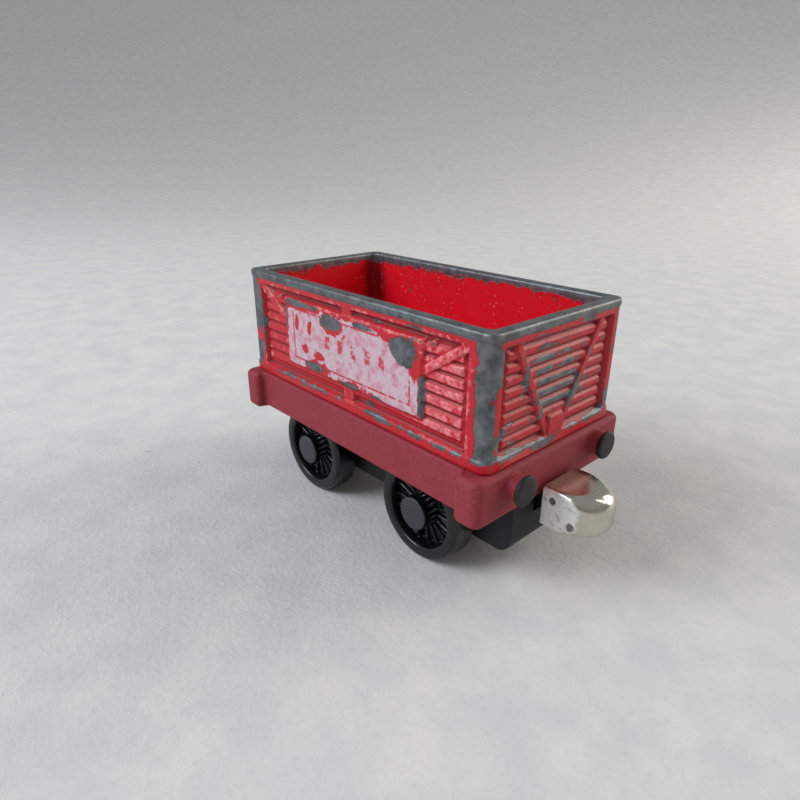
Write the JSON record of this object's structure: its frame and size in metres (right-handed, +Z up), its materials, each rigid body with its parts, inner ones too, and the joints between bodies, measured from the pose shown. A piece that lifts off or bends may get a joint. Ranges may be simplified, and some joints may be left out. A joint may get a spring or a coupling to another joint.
{
  "type": "toy open railway wagon",
  "caption": "Small die-cast toy open wagon: planked red tub with worn rim, dark red chassis with buffers, black wheels and swinging magnetic couplings.",
  "frame": {"origin": "on the floor under the middle of the wagon, midway between the axles", "axes": "+X along the wagon towards the front coupling, +Y across it to the left side, +Z up"},
  "size_m": [0.0684, 0.0306, 0.0352],
  "materials": {
    "tub_paint": "bright red paint on zinc casting, worn through to grey metal on the edges",
    "chassis_plastic": "dark red moulding, satin, dusty",
    "black_plastic": "black moulding, satin",
    "buffer_plastic": "black, dull",
    "wheel_plastic": "black moulding, half gloss with shiny worn edges",
    "axle_steel": "bright drawn wire",
    "screw_steel": "zinc plated",
    "plated_cap": "bright plating, worn and pitted on the cheeks",
    "magnet": "dark ferrite"
  },
  "bodies": {
    "body": {"tub": "tub_paint", "chassis": "chassis_plastic", "base_plate": "black_plastic", "base_screws": "screw_steel", "buffer_front_left": "buffer_plastic", "buffer_front_right": "buffer_plastic", "buffer_rear_left": "buffer_plastic", "buffer_rear_right": "buffer_plastic"},
    "front_wheelset": {"front_axle": "axle_steel", "wheel_front_left": "wheel_plastic", "wheel_front_right": "wheel_plastic"},
    "front_coupler": {"front_coupler_arm": "black_plastic", "front_coupler_cap": "plated_cap", "front_magnet": "magnet"},
    "rear_wheelset": {"rear_axle": "axle_steel", "wheel_rear_left": "wheel_plastic", "wheel_rear_right": "wheel_plastic"},
    "rear_coupler": {"rear_coupler_arm": "black_plastic", "rear_coupler_cap": "plated_cap", "rear_magnet": "magnet"}
  },
  "joints": [
    {"name": "front_axle_spin", "type": "hinge", "parent": "body", "child": "front_wheelset", "pos_m": [0.0125, 0, 0.0073], "axis": [0, 1, 0], "continuous": true},
    {"name": "rear_axle_spin", "type": "hinge", "parent": "body", "child": "rear_wheelset", "pos_m": [-0.0125, 0, 0.0073], "axis": [0, 1, 0], "continuous": true},
    {"name": "front_coupler_swing", "type": "hinge", "parent": "body", "child": "front_coupler", "pos_m": [0.0196, 0, 0.0109], "axis": [0, 0, 1], "range_deg": [-10, 10]},
    {"name": "rear_coupler_swing", "type": "hinge", "parent": "body", "child": "rear_coupler", "pos_m": [-0.0196, 0, 0.0109], "axis": [0, 0, 1], "range_deg": [-10, 10]}
  ]
}
